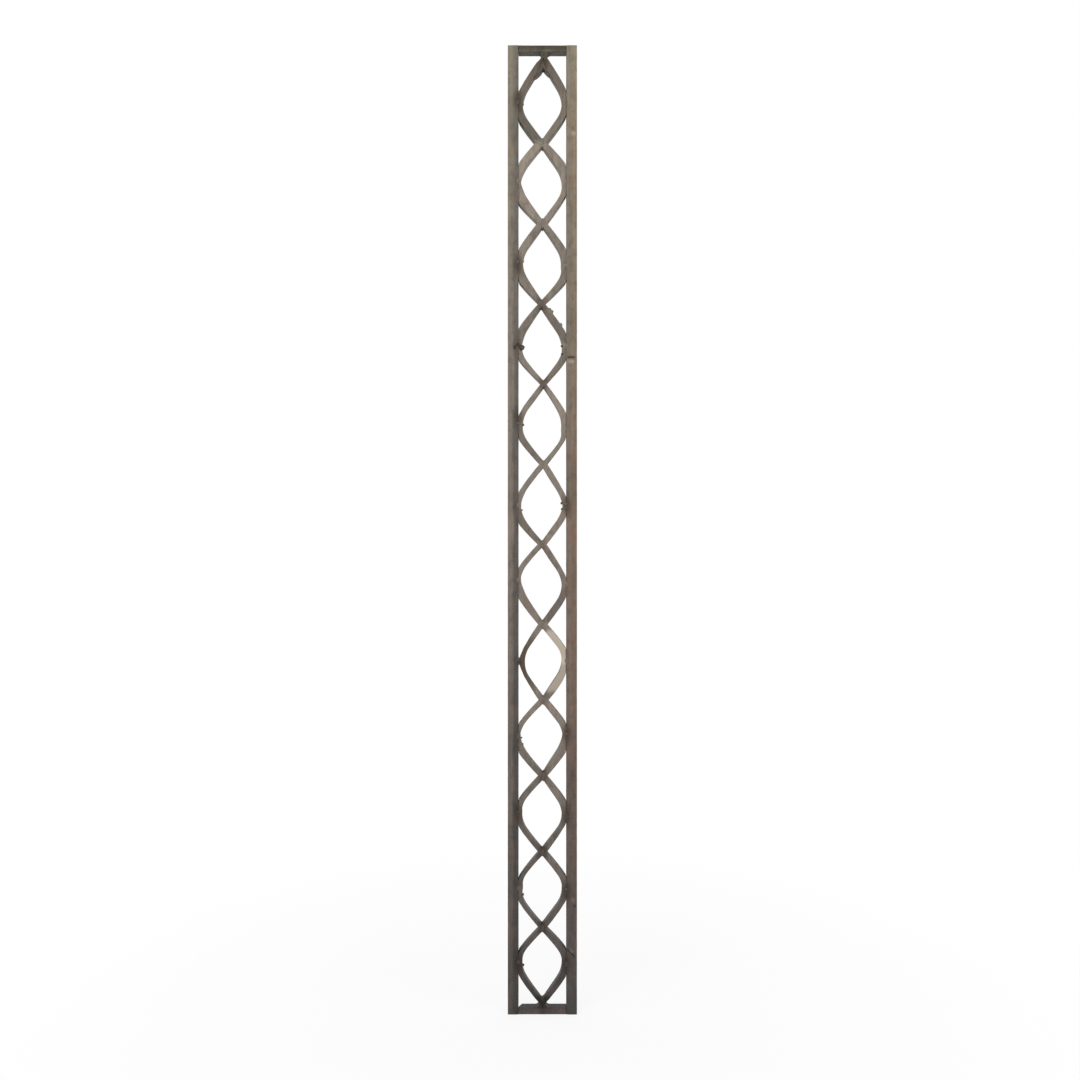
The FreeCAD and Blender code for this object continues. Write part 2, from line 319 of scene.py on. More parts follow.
def wave_arms(first_side):
    """The arms of the wave bar that leaves the top stem to one side, from the top down."""
    heights = meeting_heights()
    cell_count = len(heights) - 1
    last_side = first_side * (-1) ** (cell_count - 1)
    corners = [(first_side * wave_thickness / 2, ceiling - top_stem_length)]
    for crossing in range(cell_count - 1):
        corners.append((from_list(crossing_shifts, crossing), heights[crossing + 1]))
    corners.append((last_side * wave_thickness / 2, shelf + bottom_stem_length))
    arms = []
    for cell in range(cell_count):
        side = first_side * (-1) ** cell
        reach = half_opening - wave_thickness / 2 - slacks.get((side, cell + 1), 0)
        middle = (heights[cell] + heights[cell + 1]) / 2
        apex = (side * reach, middle + from_list(bend_shifts[side], cell))
        arms.append(Arm(side, above, cell + 1, apex, corners[cell]))
        arms.append(Arm(side, below, cell + 1, apex, corners[cell + 1]))
    return arms


def contacts(side):
    """The contacts of one upright from the top down, as cell, across and height."""
    arms = [arm for first in (left, right) for arm in wave_arms(first)]
    found = {arm.cell: (arm.cell, side * half_opening, arm.apex_z) for arm in arms if arm.side == side}
    return [found[cell] for cell in sorted(found)]


def crossings():
    """The crossings from the top down, as across and height."""
    return [(arm.corner_x, arm.corner_z) for arm in wave_arms(left) if arm.level == below][:-1]


# Mesh helpers


def scale_bar(mesh, low, high):
    """Turn the unit cube of a mesh into a bar between two corners, in metres."""
    size = high - low
    bmesh.ops.scale(mesh, vec=size, verts=mesh.verts)
    bmesh.ops.translate(mesh, vec=(low + high) / 2, verts=mesh.verts)


def edges_along(mesh, axis):
    """Edges of a bar that run along an axis."""
    nearly_straight = 0.999
    chosen = []
    for edge in mesh.edges:
        run = edge.verts[1].co - edge.verts[0].co
        if run.length > 0 and abs(run[axis]) / run.length > nearly_straight:
            chosen.append(edge)
    return chosen


def corner_edges(mesh, axis):
    """Edges along an axis where two outer faces of a bar meet."""
    least_angle = math.radians(30)
    return [edge for edge in edges_along(mesh, axis) if edge.calc_face_angle(0) > least_angle]


def ringed_bar(low, high, axis, edge_radius, spacing, face_cuts):
    """Bar between two corners, with rounded long edges and closely spaced rings along its run."""
    mesh = bmesh.new()
    bmesh.ops.create_cube(mesh, size=1)
    scale_bar(mesh, low, high)
    for other in {0, 1, 2} - {axis}:
        bmesh.ops.subdivide_edges(
            mesh, edges=edges_along(mesh, other), cuts=face_cuts[other], use_grid_fill=True
        )
    bmesh.ops.bevel(
        mesh, geom=corner_edges(mesh, axis), offset=edge_radius, offset_type="OFFSET",
        segments=3, profile=0.5, affect="EDGES", material=-1,
    )
    cuts = round((high - low)[axis] / spacing) - 1
    bmesh.ops.subdivide_edges(mesh, edges=edges_along(mesh, axis), cuts=cuts, use_grid_fill=True)
    return mesh


def roughen(mesh, depth, grain, seed):
    """Let a mesh wander inwards along its normals, by up to a depth, over patches of a grain size."""
    mesh.normal_update()
    moves = []
    for vert in mesh.verts:
        wander = noise.noise(vert.co / grain + Vector((seed, 0, 0)))
        moves.append(vert.normal * (-depth * (0.5 + 0.5 * wander)))
    for vert, move in zip(mesh.verts, moves):
        vert.co += move


def boxy(point, squareness):
    """Push a point of the unit ball's skin out towards the cube around the ball."""
    return point / max(abs(part) for part in point) ** squareness


def rhombic(point):
    """Draw a point of the unit ball's skin in to a rhombus, as seen from the front."""
    return point / max(abs(point.x) + abs(point.z), 1.0)


def burnt_layer(mesh):
    """The mesh's record of how burnt each point is."""
    layers = mesh.verts.layers.float
    return layers.get("burnt") or layers.new("burnt")


def lump(mesh, centre, size, burnt, seed, detail=3, wander=0.16, shape=Vector):
    """Add an uneven blob of weld metal about a centre, with its half sizes and how burnt it is."""
    coarseness = 1.7
    shift = Vector((seed * 3.7, seed * 1.3, 0))
    layer = burnt_layer(mesh)
    made = bmesh.ops.create_icosphere(mesh, subdivisions=detail, radius=1.0)
    for vert in made["verts"]:
        place = shape(vert.co) * (1 + wander * noise.noise(vert.co * coarseness + shift))
        vert.co = centre + Vector([place[axis] * size[axis] for axis in range(3)])
        vert[layer] = burnt


def fill_between(mesh, first, last, skins, hollow, burnt, seed, lean=None):
    """Add weld metal from a first to a last height between two skins, front to back.

    The skins give two places across for a height. The far end is hollow, as weld metal is where
    it has drawn up along both sides: round, or pointed and off its middle by a lean.
    """
    squareness = 0.85
    draw_power = 1.5
    # In millimetres: how far the metal stays behind the bars' faces, how much it dips along its
    # middle, how much it wanders and over what distance
    setback, dip, wander, grain = 0.3, 0.25, 0.25, 2.2
    noise_depth = 4
    shift = Vector((seed * 2.3, 0, 0))
    layer = burnt_layer(mesh)
    made = bmesh.ops.create_icosphere(mesh, subdivisions=4, radius=1.0)
    for vert in made["verts"]:
        aside, deep, along = boxy(vert.co, squareness)
        share = (along + 1) / 2
        end_shape = 1 - aside ** 2 if lean is None else 1 - abs(aside - lean)
        drawn = hollow * end_shape * share ** draw_power
        height = first + (last - first) * share - math.copysign(drawn, last - first)
        inner, outer = skins(height)
        across = inner + (outer - inner) * (aside + 1) / 2
        uneven = wander * noise.noise(Vector((across, deep * noise_depth, height)) / grain + shift)
        half_depth = panel_depth / 2 - setback - dip * (1 - aside ** 2) + uneven
        vert.co = Vector((across, deep * half_depth, height)) * mm
        vert[layer] = burnt


def nearness(distance, reach):
    """1 at a spot, falling softly to 0 beyond a reach."""
    return math.exp(-((distance / reach) ** 2))


def within(point, across, height, half_width, half_height):
    """1 at the middle of an oval spot, falling softly to 0 beyond its half sizes."""
    aside = (point.x / mm - across) / half_width
    rise = (point.z / mm - height) / half_height
    return nearness(math.hypot(aside, rise), 1.0)


def heat_at(point, sources, reach):
    """How strongly some welds have tinted a point, from 0 to 1."""
    strongest = 0.0
    for across, height, burn in sources:
        distance = math.hypot(point.x / mm - across, (point.z / mm - height) * heat_run)
        strongest = max(strongest, burn * nearness(distance, reach))
    return strongest


def contact_burns(side):
    """The contacts of one upright as heat sources: across, height and how burnt."""
    return [
        (across, height + burn_rises.get((side, cell), 0), from_list(burns[side], cell - 1))
        for cell, across, height in contacts(side)
    ]


def crossing_heat():
    """The crossings as heat sources."""
    return [(*spot, from_list(crossing_burns, place)) for place, spot in enumerate(crossings())]


def add_object(name, data):
    """A new object in the scene."""
    made = bpy.data.objects.new(name, data)
    bpy.context.scene.collection.objects.link(made)
    return made


def finish_piece(mesh, name, material, replaced, attributes=None):
    """Make the object of a mesh, which stands for some CAD nodes and rides the frame."""
    sharp_angle = math.radians(38)
    bmesh.ops.recalc_face_normals(mesh, faces=mesh.faces)
    data = bpy.data.meshes.new(name)
    mesh.to_mesh(data)
    mesh.free()
    data.shade_smooth()
    data.set_sharp_from_angle(angle=sharp_angle)
    for attribute, values in (attributes or {}).items():
        layer = data.attributes.new(attribute, "FLOAT", "POINT")
        layer.data.foreach_set("value", values)
    data.materials.append(material)
    piece = add_object(name, data)
    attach(piece, "root")
    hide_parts(*replaced)


# Materials


def add_node(tree, kind, inputs=None, **settings):
    """Add a shader node. Each input takes a value, or the output socket that feeds it."""
    node = tree.nodes.new("ShaderNode" + kind)
    for name, value in settings.items():
        setattr(node, name, value)
    for socket, value in (inputs or {}).items():
        if isinstance(value, bpy.types.NodeSocket):
            tree.links.new(value, node.inputs[socket])
        else:
            node.inputs[socket].default_value = value
    return node


def emptied_tree(owner):
    """The node tree of a material or world, with nothing in it."""
    owner.use_nodes = True
    owner.node_tree.nodes.clear()
    return owner.node_tree


def new_material(name):
    """A node material, its tree and its shader."""
    material = bpy.data.materials.new(name)
    tree = emptied_tree(material)
    shader = add_node(tree, "BsdfPrincipled")
    add_node(tree, "OutputMaterial", {"Surface": shader.outputs["BSDF"]})
    return material, tree, shader


def patches(tree, coordinates, size, detail=3.0, stretch=1.0, shift=0.0):
    """Cloudy pattern whose patches are a size in metres wide, stretched along the bar."""
    scale = (1 / size, 1 / size, 1 / (size * stretch))
    placed = add_node(tree, "Mapping", {"Vector": coordinates, "Location": (shift, 0, 0), "Scale": scale})
    inputs = {"Vector": placed.outputs["Vector"], "Scale": 1.0, "Detail": detail}
    return add_node(tree, "TexNoise", inputs).outputs["Fac"]


def laid_over(tree, colour, layer, pattern, start, end, most=1.0, blend="MIX"):
    """A colour with another laid over it, or multiplied into it, where a pattern is strong.

    The layer sets in where the pattern passes the start, and has its most at the end.
    """
    limits = {"Value": pattern, "From Min": start, "From Max": end, "To Max": most}
    share = add_node(tree, "MapRange", limits, interpolation_type="SMOOTHSTEP")
    inputs = {0: share.outputs["Result"], 6: colour, 7: layer}
    return add_node(tree, "Mix", inputs, data_type="RGBA", blend_type=blend).outputs[2]


def marked(tree, colour, layer, attribute, blend="MULTIPLY"):
    """A colour with another laid over it where a piece's own attribute says so."""
    value = add_node(tree, "Attribute", attribute_name=attribute).outputs["Fac"]
    return laid_over(tree, colour, layer, value, 0.05, 0.95, blend=blend)


def toned_by_height(tree, height, stops):
    """Colours that follow one another up the panel, given as places from 0 to 1 with colours."""
    level = add_node(tree, "Math", {0: height, 1: panel_height * mm}, operation="DIVIDE", use_clamp=True)
    node = add_node(tree, "ValToRGB", {"Fac": level.outputs[0]})
    elements = node.color_ramp.elements
    elements.remove(elements[1])
    elements[0].position, elements[0].color = stops[0]
    for place, colour in stops[1:]:
        elements.new(place).color = colour
    return node.outputs["Color"]


def set_surface(tree, shader, colour, clouds, relief, metallic, least_rough, cloud_rough):
    """Give a shader its colour, metal, roughness and relief.

    The roughness grows with the clouds. The relief is a height, a strength and a distance.
    """
    tree.links.new(colour, shader.inputs["Base Color"])
    shader.inputs["Metallic"].default_value = metallic
    rough = add_node(tree, "Math", {0: clouds, 1: cloud_rough, 2: least_rough}, operation="MULTIPLY_ADD")
    tree.links.new(rough.outputs[0], shader.inputs["Roughness"])
    bump = add_node(tree, "Bump", dict(zip(("Height", "Strength", "Distance"), relief)))
    tree.links.new(bump.outputs["Normal"], shader.inputs["Normal"])


def tones(*stops):
    """Tones as heights in millimetres with hex colours, turned into shares of the panel."""
    return [(height / panel_height, linear_colour(code)) for height, code in stops]


def steel(name, outer_tones, inner_tones=None, outer_edge=None, inner_edge=None, rust_share=0.3):
    """Bare hot-rolled steel bar.

    Its mill scale is a thin grey-brown oxide, part metal and part dull, so it shines softly and
    unevenly, with long faint rolling streaks, cloudy patches and a little rust. The tones go from
    the foot to the head, and their darkening towards the foot is painted shade, as the light falls
    off downwards. Inner tones take over towards the inner edge of an upright.
    """
    colours = bpy.context.scene.baluster_colours
    material, tree, shader = new_material(name)
    place = add_node(tree, "TexCoord").outputs["Object"]
    axes = add_node(tree, "SeparateXYZ", {"Vector": place})
    colour = toned_by_height(tree, axes.outputs["Z"], outer_tones)
    if inner_tones:
        # The border between the two tones wanders by about 2 mm along the bar
        wander = 0.005
        cloud = patches(tree, place, 0.012, 3.0, 3.0)
        bent = add_node(tree, "Math", {0: cloud, 1: wander, 2: -wander / 2}, operation="MULTIPLY_ADD")
        across = add_node(tree, "Math", {0: axes.outputs["X"], 1: bent.outputs[0]}, operation="ADD")
        inner = toned_by_height(tree, axes.outputs["Z"], inner_tones)
        colour = laid_over(tree, colour, inner, across.outputs[0], outer_edge, inner_edge)

    # Mill scale lies in clouds 5 to 20 mm wide, in long streaks left by the rolls and in speckle
    wide = patches(tree, place, 0.020, 3.0, 2.0)
    clouds = patches(tree, place, 0.005, 4.0, 1.8)
    streaks = patches(tree, place, 0.0018, 2.0, 30.0)
    speckle = patches(tree, place, 0.0012, 3.0, 1.2)
    for pattern, start, end, factor in (
        (wide, 0.45, 0.7, (0.82, 0.83, 0.82, 1)),
        (clouds, 0.45, 0.7, (0.78, 0.78, 0.79, 1)),
        (streaks, 0.5, 0.72, (1.22, 1.19, 1.15, 1)),
        (speckle, 0.45, 0.62, (0.88, 0.87, 0.86, 1)),
    ):
        colour = laid_over(tree, colour, factor, pattern, start, end, blend="MULTIPLY")

    # Rust blooms in thin red-brown patches
    blooms = patches(tree, place, 0.016, 5.0, 1.5, shift=0.4)
    colour = laid_over(tree, colour, colours.rust[:], blooms, 0.52, 0.74, most=rust_share)

    # A painted highlight lays the pale colour on some arms' fronts, and each arm has a tone of its own
    colour = marked(tree, colour, colours.pale[:], "pale", blend="MIX")
    shade = add_node(tree, "Attribute", attribute_name="shade").outputs["Fac"]
    tone = add_node(tree, "Math", {0: shade, 1: 1.0}, operation="ADD").outputs[0]
    colour = add_node(tree, "HueSaturation", {"Value": tone, "Color": colour}).outputs["Color"]

    # A weld tints brown and grinding brightens. Soot darkens the wave bars' foot stem, and painted
    # shade darkens the grooves of the uprights' marks
    for attribute, factor in (
        ("tint", (0.38, 0.31, 0.24, 1)),
        ("ground", (1.9, 1.85, 1.8, 1)),
        ("soot_and_shade", (0.16, 0.15, 0.14, 1)),
    ):
        colour = marked(tree, colour, factor, attribute)

    # Pitting and scale edges: grit of 0.4 to 1.2 mm, drawn no finer than that so that it shows
    fine = patches(tree, place, 0.0004, 2.0, 1.0)
    grit = add_node(tree, "Math", {0: speckle, 1: fine}, operation="ADD").outputs[0]
    set_surface(
        tree, shader, colour, clouds, relief=(grit, 0.45, 0.00012),
        metallic=0.4, least_rough=0.46, cloud_rough=0.24,
    )
    return material


def left_upright_steel():
    return steel(
        "hot_rolled_steel_left_upright",
        # Darker towards the foot: painted shade, as the light falls off downwards
        tones((0, "#504844"), (450, "#7A7066"), (900, "#807868")),
        tones((0, "#3C3836"), (450, "#5A544E"), (900, "#6C665C")),
        outer_edge=-0.0285, inner_edge=-0.0255, rust_share=0.2,
    )


def right_upright_steel():
    return steel(
        "hot_rolled_steel_right_upright",
        # Darker towards the foot: painted shade, as the light falls off downwards
        tones((0, "#484240"), (300, "#705C50"), (900, "#887C68")),
        tones((0, "#464444"), (300, "#706054"), (900, "#807868")),
        outer_edge=0.0290, inner_edge=0.0255, rust_share=0.4,
    )


def end_bar_steel():
    """The foot bar is darker on top than on its face, and the head bar is browner."""
    return steel(
        "hot_rolled_steel_end_bars",
        tones((4, "#504A48"), (6, "#3A3432"), (894, "#646056"), (897, "#443C2C")),
        rust_share=0.15,
    )


def wave_bar_steel():
    return steel(
        "hand_bent_flat_steel",
        # Darker towards the foot: painted shade, as the light falls off downwards. Darker again just under
        # the head bar
        tones((0, "#484240"), (300, "#847A70"), (800, "#887E72"), (900, "#544C40")),
        rust_share=0.2,
    )


def weld_metal():
    """Weld metal as the arc left it: uneven brown oxide, duller than the bars, in drops of 2 to 3 mm.

    The pieces' own attribute says how much of it is burnt dark.
    """
    name = "arc_weld_metal"
    if name in bpy.data.materials:
        return bpy.data.materials[name]
    colours = bpy.context.scene.baluster_colours
    material, tree, shader = new_material(name)
    place = add_node(tree, "TexCoord").outputs["Object"]
    axes = add_node(tree, "SeparateXYZ", {"Vector": place})
    # Darker towards the foot: painted shade, as the light falls off downwards. Darker again just under the
    # head bar
    stops = tones((0, "#484240"), (300, "#786C64"), (800, "#7C7468"), (900, "#544C40"))
    colour = toned_by_height(tree, axes.outputs["Z"], stops)
    clouds = patches(tree, place, 0.0025, 4.0, 1.0)
    limits = {"Value": clouds, "From Min": 0.3, "From Max": 0.6, "To Min": 0.5, "To Max": 1.1}
    uneven = add_node(tree, "MapRange", limits, interpolation_type="SMOOTHSTEP")
    burnt = add_node(tree, "Attribute", attribute_name="burnt").outputs["Fac"]
    factors = {0: uneven.outputs["Result"], 1: burnt}
    share = add_node(tree, "Math", factors, operation="MULTIPLY", use_clamp=True).outputs[0]
    mixed = add_node(tree, "Mix", {0: share, 6: colour, 7: colours.weld[:]}, data_type="RGBA")
    set_surface(
        tree, shader, mixed.outputs[2], clouds, relief=(clouds, 0.5, 0.0002),
        metallic=0.35, least_rough=0.42, cloud_rough=0.3,
    )
    return material


# Pieces


class MakeUprights(bpy.types.Operator):
    """Make the two square uprights, with the saw and weld marks across them"""

    bl_idname = "baluster.uprights"
    bl_label = "Uprights"

    # Marks across the front: side, height at the outer edge, how far in from that edge they
    # start and end, rise for each millimetre inwards, half height, depth, all in millimetres
    marks = [
        (right, 610.3, 1.8, 10.0, 0.0, 1.3, 0.8),
        (right, 823.0, 2.8, 5.2, 0.0, 0.9, 0.5),
        (right, 100.9, 0.2, 4.2, 0.0, 0.8, 0.4),
        (right, 51.2, 1.0, 9.7, 1.0, 1.3, 0.6),
        (left, 619.5, 4.2, 9.0, 0.0, 2.2, 0.4),
    ]
    # How dark the painted shade in a mark's groove is at most
    darkest_mark_shade = 0.9
    # How far in from its ends a mark has its full depth
    mark_fade = 1.2
    # Ground patches: side, height, how far in from the outer edge, half height, half width
    ground = [
        (right, 606.3, 5.5, 2.2, 4.0),
        (right, 818.3, 3.8, 2.4, 3.0),
        (right, 58.5, 4.9, 2.4, 2.4),
        (right, 106.0, 3.6, 3.2, 2.2),
    ]
    brightest = 0.8
    # How far behind the front marks and ground patches still show
    face_depth = 2.5
    tint_reach = 5.4
    # Grain of the rolled faces in metres, and cuts across the faces by axis
    grain = 0.006
    face_cuts = {0: 6, 1: 4}

    def mark_strength(self, mark, inward, height):
        """How strongly a mark has cut into a spot of the front, from 0 to 1."""
        _, level, start, end, slant, half_height, _ = mark
        ends = smooth(min(inward - start, end - inward) / self.mark_fade)
        return ends * nearness(height - level - inward * slant, half_height)

    def cut_marks(self, mesh, side):
        """Cut the marks into the front, and give each point's share of painted shade, which darkens their
        grooves.
        """
        outer = half_opening + upright_width
        own = [mark for mark in self.marks if mark[0] == side]
        darkening = []
        for vert in mesh.verts:
            strongest = 0.0
            if vert.co.y / mm < front + self.face_depth:
                inward, height = outer - abs(vert.co.x / mm), vert.co.z / mm
                for mark in own:
                    strength = self.mark_strength(mark, inward, height)
                    vert.co.y += mark[-1] * mm * strength
                    strongest = max(strongest, strength)
            darkening.append(self.darkest_mark_shade * strongest)
        return darkening

    def ground_share(self, point, side):
        """How brightly a point of the front was ground."""
        if point.y / mm > front + self.face_depth:
            return 0.0
        strongest = 0.0
        for spot_side, height, inward, half_height, half_width in self.ground:
            if spot_side == side:
                across = side * (half_opening + upright_width - inward)
                strongest = max(strongest, within(point, across, height, half_width, half_height))
        return self.brightest * strongest

    def execute(self, context):
        sizes = context.scene.baluster_sizes
        for side, name, node, slot, material in (
            (left, "left_post", "left_upright", "left_upright_iron", left_upright_steel()),
            (right, "right_post", "right_upright", "right_upright_iron", right_upright_steel()),
        ):
            low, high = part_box(node)
            mesh = ringed_bar(low, high, 2, sizes.upright_edge, sizes.ring_spacing, self.face_cuts)
            roughen(mesh, sizes.mill_unevenness, self.grain, 3 * side)
            # Painted shade darkens each mark's groove
            darkening = self.cut_marks(mesh, side)
            sources = contact_burns(side)
            tint = [heat_at(vert.co, sources, self.tint_reach) for vert in mesh.verts]
            ground = [self.ground_share(vert.co, side) for vert in mesh.verts]
            shares = {"tint": tint, "ground": ground, "soot_and_shade": darkening}
            finish_piece(mesh, name, material, [node], shares)
        return {"FINISHED"}


class MakeEndBars(bpy.types.Operator):
    """Make the flat head and foot bars, with the slanting slit at the foot's left corner"""

    bl_idname = "baluster.end_bars"
    bl_label = "End bars"

    # The slit's width and drop at the front, and its width at the back, where it is cut deeper
    slit_width = 1.4
    slit_drop = 1.3
    slit_back_width = 3.3
    # Where the head's weld was ground flush with the bar: across and height, half width and half
    # height, and how bright it is
    ground_spot = (2.8, 893.5, 5.5, 3.0)
    brightest = 0.75
    # Stems as heat sources: across, height and how burnt
    stems = [(0.0, ceiling, 0.5), (0.0, shelf, 0.6)]
    tint_reach = 5.0
    # Spacing of the rings and grain of the rolled faces in metres, and cuts across them by axis
    ring_spacing = 0.0009
    grain = 0.006
    face_cuts = {1: 4, 2: 2}
    seed = 11

    def slit_normal(self):
        """Direction away from the bar's slanting end."""
        along_front = Vector((self.slit_width, 0, self.slit_drop))
        along_top = Vector((self.slit_back_width - self.slit_width, panel_depth, 0))
        return along_front.cross(along_top).normalized()

    def cut_slit(self, mesh, low, high):
        """Cut the foot bar's left end back, and give the new end's points."""
        lowest = Vector((low.x, low.y, high.z - self.slit_drop * mm))
        everything = mesh.verts[:] + mesh.edges[:] + mesh.faces[:]
        cut = bmesh.ops.bisect_plane(
            mesh, geom=everything, plane_co=lowest, plane_no=self.slit_normal(), clear_outer=True, dist=1e-7
        )
        rim = [part for part in cut["geom_cut"] if isinstance(part, bmesh.types.BMEdge)]
        bmesh.ops.contextual_create(mesh, geom=rim)
        return {vert for edge in rim for vert in edge.verts}

    def ground_share(self, vert, bright):
        """How bright a point is: wholly on the slit's end, and partly on the head's ground weld."""
        return 1.0 if vert in bright else self.brightest * within(vert.co, *self.ground_spot)

    def execute(self, context):
        sizes = context.scene.baluster_sizes
        material = end_bar_steel()
        for name, node in (("head_bar", "top_bar"), ("foot_bar", "bottom_bar")):
            low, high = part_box(node)
            mesh = ringed_bar(low, high, 0, sizes.end_bar_edge, self.ring_spacing, self.face_cuts)
            bright = self.cut_slit(mesh, low, high) if node == "bottom_bar" else set()
            ground = [self.ground_share(vert, bright) for vert in mesh.verts]
            roughen(mesh, sizes.mill_unevenness, self.grain, self.seed)
            tint = [heat_at(vert.co, self.stems, self.tint_reach) for vert in mesh.verts]
            finish_piece(mesh, name, material, [node], {"tint": tint, "ground": ground})
        return {"FINISHED"}


class MakeWaveBars(bpy.types.Operator):
    """Bend the two wavy flat bars to and fro between the uprights"""

    bl_idname = "baluster.wave_bars"
    bl_label = "Wave bars"

    # The bars' ends are hammered thin where they stand side by side: heights where that starts
    # and is complete, thickness kept, and how far the pair then stands off the centre line
    head_squeeze = (883.7, 889.0, 0.73, 1.6)
    foot_squeeze = (14.5, 8.5, 0.76, 0.0)

    # Over how much of its height a point's place is averaged
    smoothing = 2.4
    # How far from a crossing a bar's step forward or back dies out
    step_reach = 9.0
    # Grain of the rolled faces in metres, and cuts across the faces by axis
    grain = 0.005
    face_cuts = {0: 2, 1: 4}
    heat_reach = 5.2
    # Stems as heat sources: across, height and how burnt
    stems = [(1.0, 882.5, 0.8), (0.0, 11.0, 1.0)]
    # The cells whose left arms are burnt all along: how strongly, how far up and down from the
    # bend, how far out from the middle that sets in, and over what width
    burnt_left_cells = [8]
    scorch = (0.95, 26.0, 3.0, 5.0)
    # The cells whose right arms' fronts carry a painted highlight all along: how far up and down
    # from the bend and over what height that ends, how far out from the middle it sets in and over
    # what width, how far from the upright it ends and over what width, and how far behind the front
    # it shows
    lit_right_cells = [8]
    highlight_extent = (34.0, 10.0, 2.0, 3.0, 0.2, 0.8)
    highlight_depth = 0.6
    # The soot on the bottom stem: how strong, its height and its reach
    stem_soot = (0.8, 13.5, 5.0)

    def state(self, arms, height):
        """Middle and turn of a bar at a height."""
        for arm in arms:
            if arm.holds(height):
                return arm.place(height)
        nearest = arms[0] if height > arms[0].corner_z else arms[-1]
        return nearest.corner_x, 0.0

    def smooth_state(self, arms, height):
        """The same, averaged over a short length so that no bend is sharper than the bar allows."""
        offsets = [self.smoothing * (step / 3) for step in range(-3, 4)]
        states = [self.state(arms, height + offset) for offset in offsets]
        return [sum(values) / len(values) for values in zip(*states)]

    def depth_step(self, height, crossing_places, first_in_front, step):
        """How far a bar stands forward, in front at every other crossing and behind at the rest."""
        forward = 0.0
        for place, (_, crossing) in enumerate(crossing_places):
            in_front = (place % 2 == 0) == first_in_front
            forward += (1 if in_front else -1) * step * nearness(height - crossing, self.step_reach)
        return forward

    def squeezed(self, across, height):
        """A place across, moved as the hammering of the bars' ends moves it."""
        for start, end, kept, offset in (self.head_squeeze, self.foot_squeeze):
            share = smooth((height - start) / (end - start))
            across = across * (1 - share * (1 - kept)) + share * offset
        return across

    def bend(self, mesh, first_side, crossing_places, step):
        """Lay a straight bar along its run between the uprights."""
        arms = wave_arms(first_side)
        for vert in mesh.verts:
            outward, deep, height = vert.co / mm
            across, turn = self.smooth_state(arms, height)
            forward = self.depth_step(height, crossing_places, first_side == left, step)
            level = min(max(height + outward * math.sin(turn), shelf), ceiling)
            across += outward * math.cos(turn)
            for side in (left, right):
                own = [arm for arm in arms if arm.side == side]
                outer = 0.5 + side * outward / wave_thickness
                spread = max(arm.spread(level) for arm in own)
                inner_shift = sum(arm.inner_shift(level) for arm in own)
                across += side * (spread * outer + inner_shift * (1 - outer))
            vert.co = Vector((self.squeezed(across, level), deep - forward, level)) * mm

    def scorched(self, across, height, bends):
        """How burnt a point is on the left arms that are burnt all along."""
        strongest, reach, start, width = self.scorch
        nearest = max(nearness(height - bend, reach) for bend in bends)
        return strongest * nearest * smooth((-across - start) / width)

    def bare(self, across, height, bends):
        """How strongly a point carries the painted highlight on the right arms that carry it all along."""
        reach, fade, start, width, rim, rim_width = self.highlight_extent
        nearest = max(smooth((reach - abs(height - bend)) / fade) for bend in bends)
        return nearest * smooth((across - start) / width) * smooth((half_opening - rim - across) / rim_width)

    def tone_shares(self, mesh, arms, sources):
        """Each point's share of heat tint, of painted highlight and of soot, and its arm's own tone."""
        burnt_bends = [height for cell, _, height in contacts(left) if cell in self.burnt_left_cells]
        lit_bends = [height for cell, _, height in contacts(right) if cell in self.lit_right_cells]
        darkening, soot_height, soot_reach = self.stem_soot
        shares = {"tint": [], "pale": [], "soot_and_shade": [], "shade": []}
        for vert in mesh.verts:
            across, height = vert.co.x / mm, vert.co.z / mm
            tint = heat_at(vert.co, sources, self.heat_reach)
            shares["tint"].append(max(tint, self.scorched(across, height, burnt_bends)))
            on_front = vert.co.y / mm < front + self.highlight_depth
            # The pale share is a painted highlight on the front
            shares["pale"].append(self.bare(across, height, lit_bends) if on_front else 0.0)
            shares["soot_and_shade"].append(darkening * nearness(height - soot_height, soot_reach))
            shares["shade"].append(sum(arm.tone(height) for arm in arms if arm.holds(height)))
        return shares

    def execute(self, context):
        sizes = context.scene.baluster_sizes
        material = wave_bar_steel()
        crossing_places = crossings()
        sources = contact_burns(left) + contact_burns(right) + crossing_heat() + self.stems
        for first_side, name, node in (
            (left, "wave_bar_left_first", "wave_bar_left_start"),
            (right, "wave_bar_right_first", "wave_bar_right_start"),
        ):
            low = Vector((-wave_thickness / 2, front, shelf)) * mm
            high = Vector((wave_thickness / 2, -front, ceiling)) * mm
            mesh = ringed_bar(low, high, 2, sizes.wave_edge, sizes.ring_spacing, self.face_cuts)
            roughen(mesh, sizes.mill_unevenness, self.grain, 7 * first_side)
            self.bend(mesh, first_side, crossing_places, sizes.crossing_step / mm)
            shares = self.tone_shares(mesh, wave_arms(first_side), sources)
            finish_piece(mesh, name, material, [node], shares)
        return {"FINISHED"}


class MakeCrossingWelds(bpy.types.Operator):
    """Melt a flat web of weld over the front and the back of each crossing"""

    bl_idname = "baluster.crossing_welds"
    bl_label = "Crossing welds"

    # Half height of each web, from the top down, and its width against its height
    half_heights = [4.6, 5.0, 4.4, 3.8, 3.6, 4.1, 4.3, 4.0, 4.6, 3.6, 3.6]
    width_share = 0.78
    half_depth = 1.0
    # How far behind the bars' face its middle sits, how uneven it is, and how burnt it is against
    # the bars around it
    sunk = 0.75
    wander = 0.1
    burnt_share = 0.7

    def execute(self, context):
        mesh = bmesh.new()
        for place, (across, height, burn) in enumerate(crossing_heat()):
            half_height = from_list(self.half_heights, place)
            size = Vector((half_height * self.width_share, self.half_depth, half_height)) * mm
            burnt = self.burnt_share * burn
            for face in (-1, 1):
                seat = Vector((across, face * (panel_depth / 2 - self.sunk), height)) * mm
                seed = place + 20 * face
                lump(mesh, seat, size, burnt, seed, detail=4, wander=self.wander, shape=rhombic)
        finish_piece(mesh, "crossing_beads", weld_metal(), ["crossing_welds"])
        return {"FINISHED"}


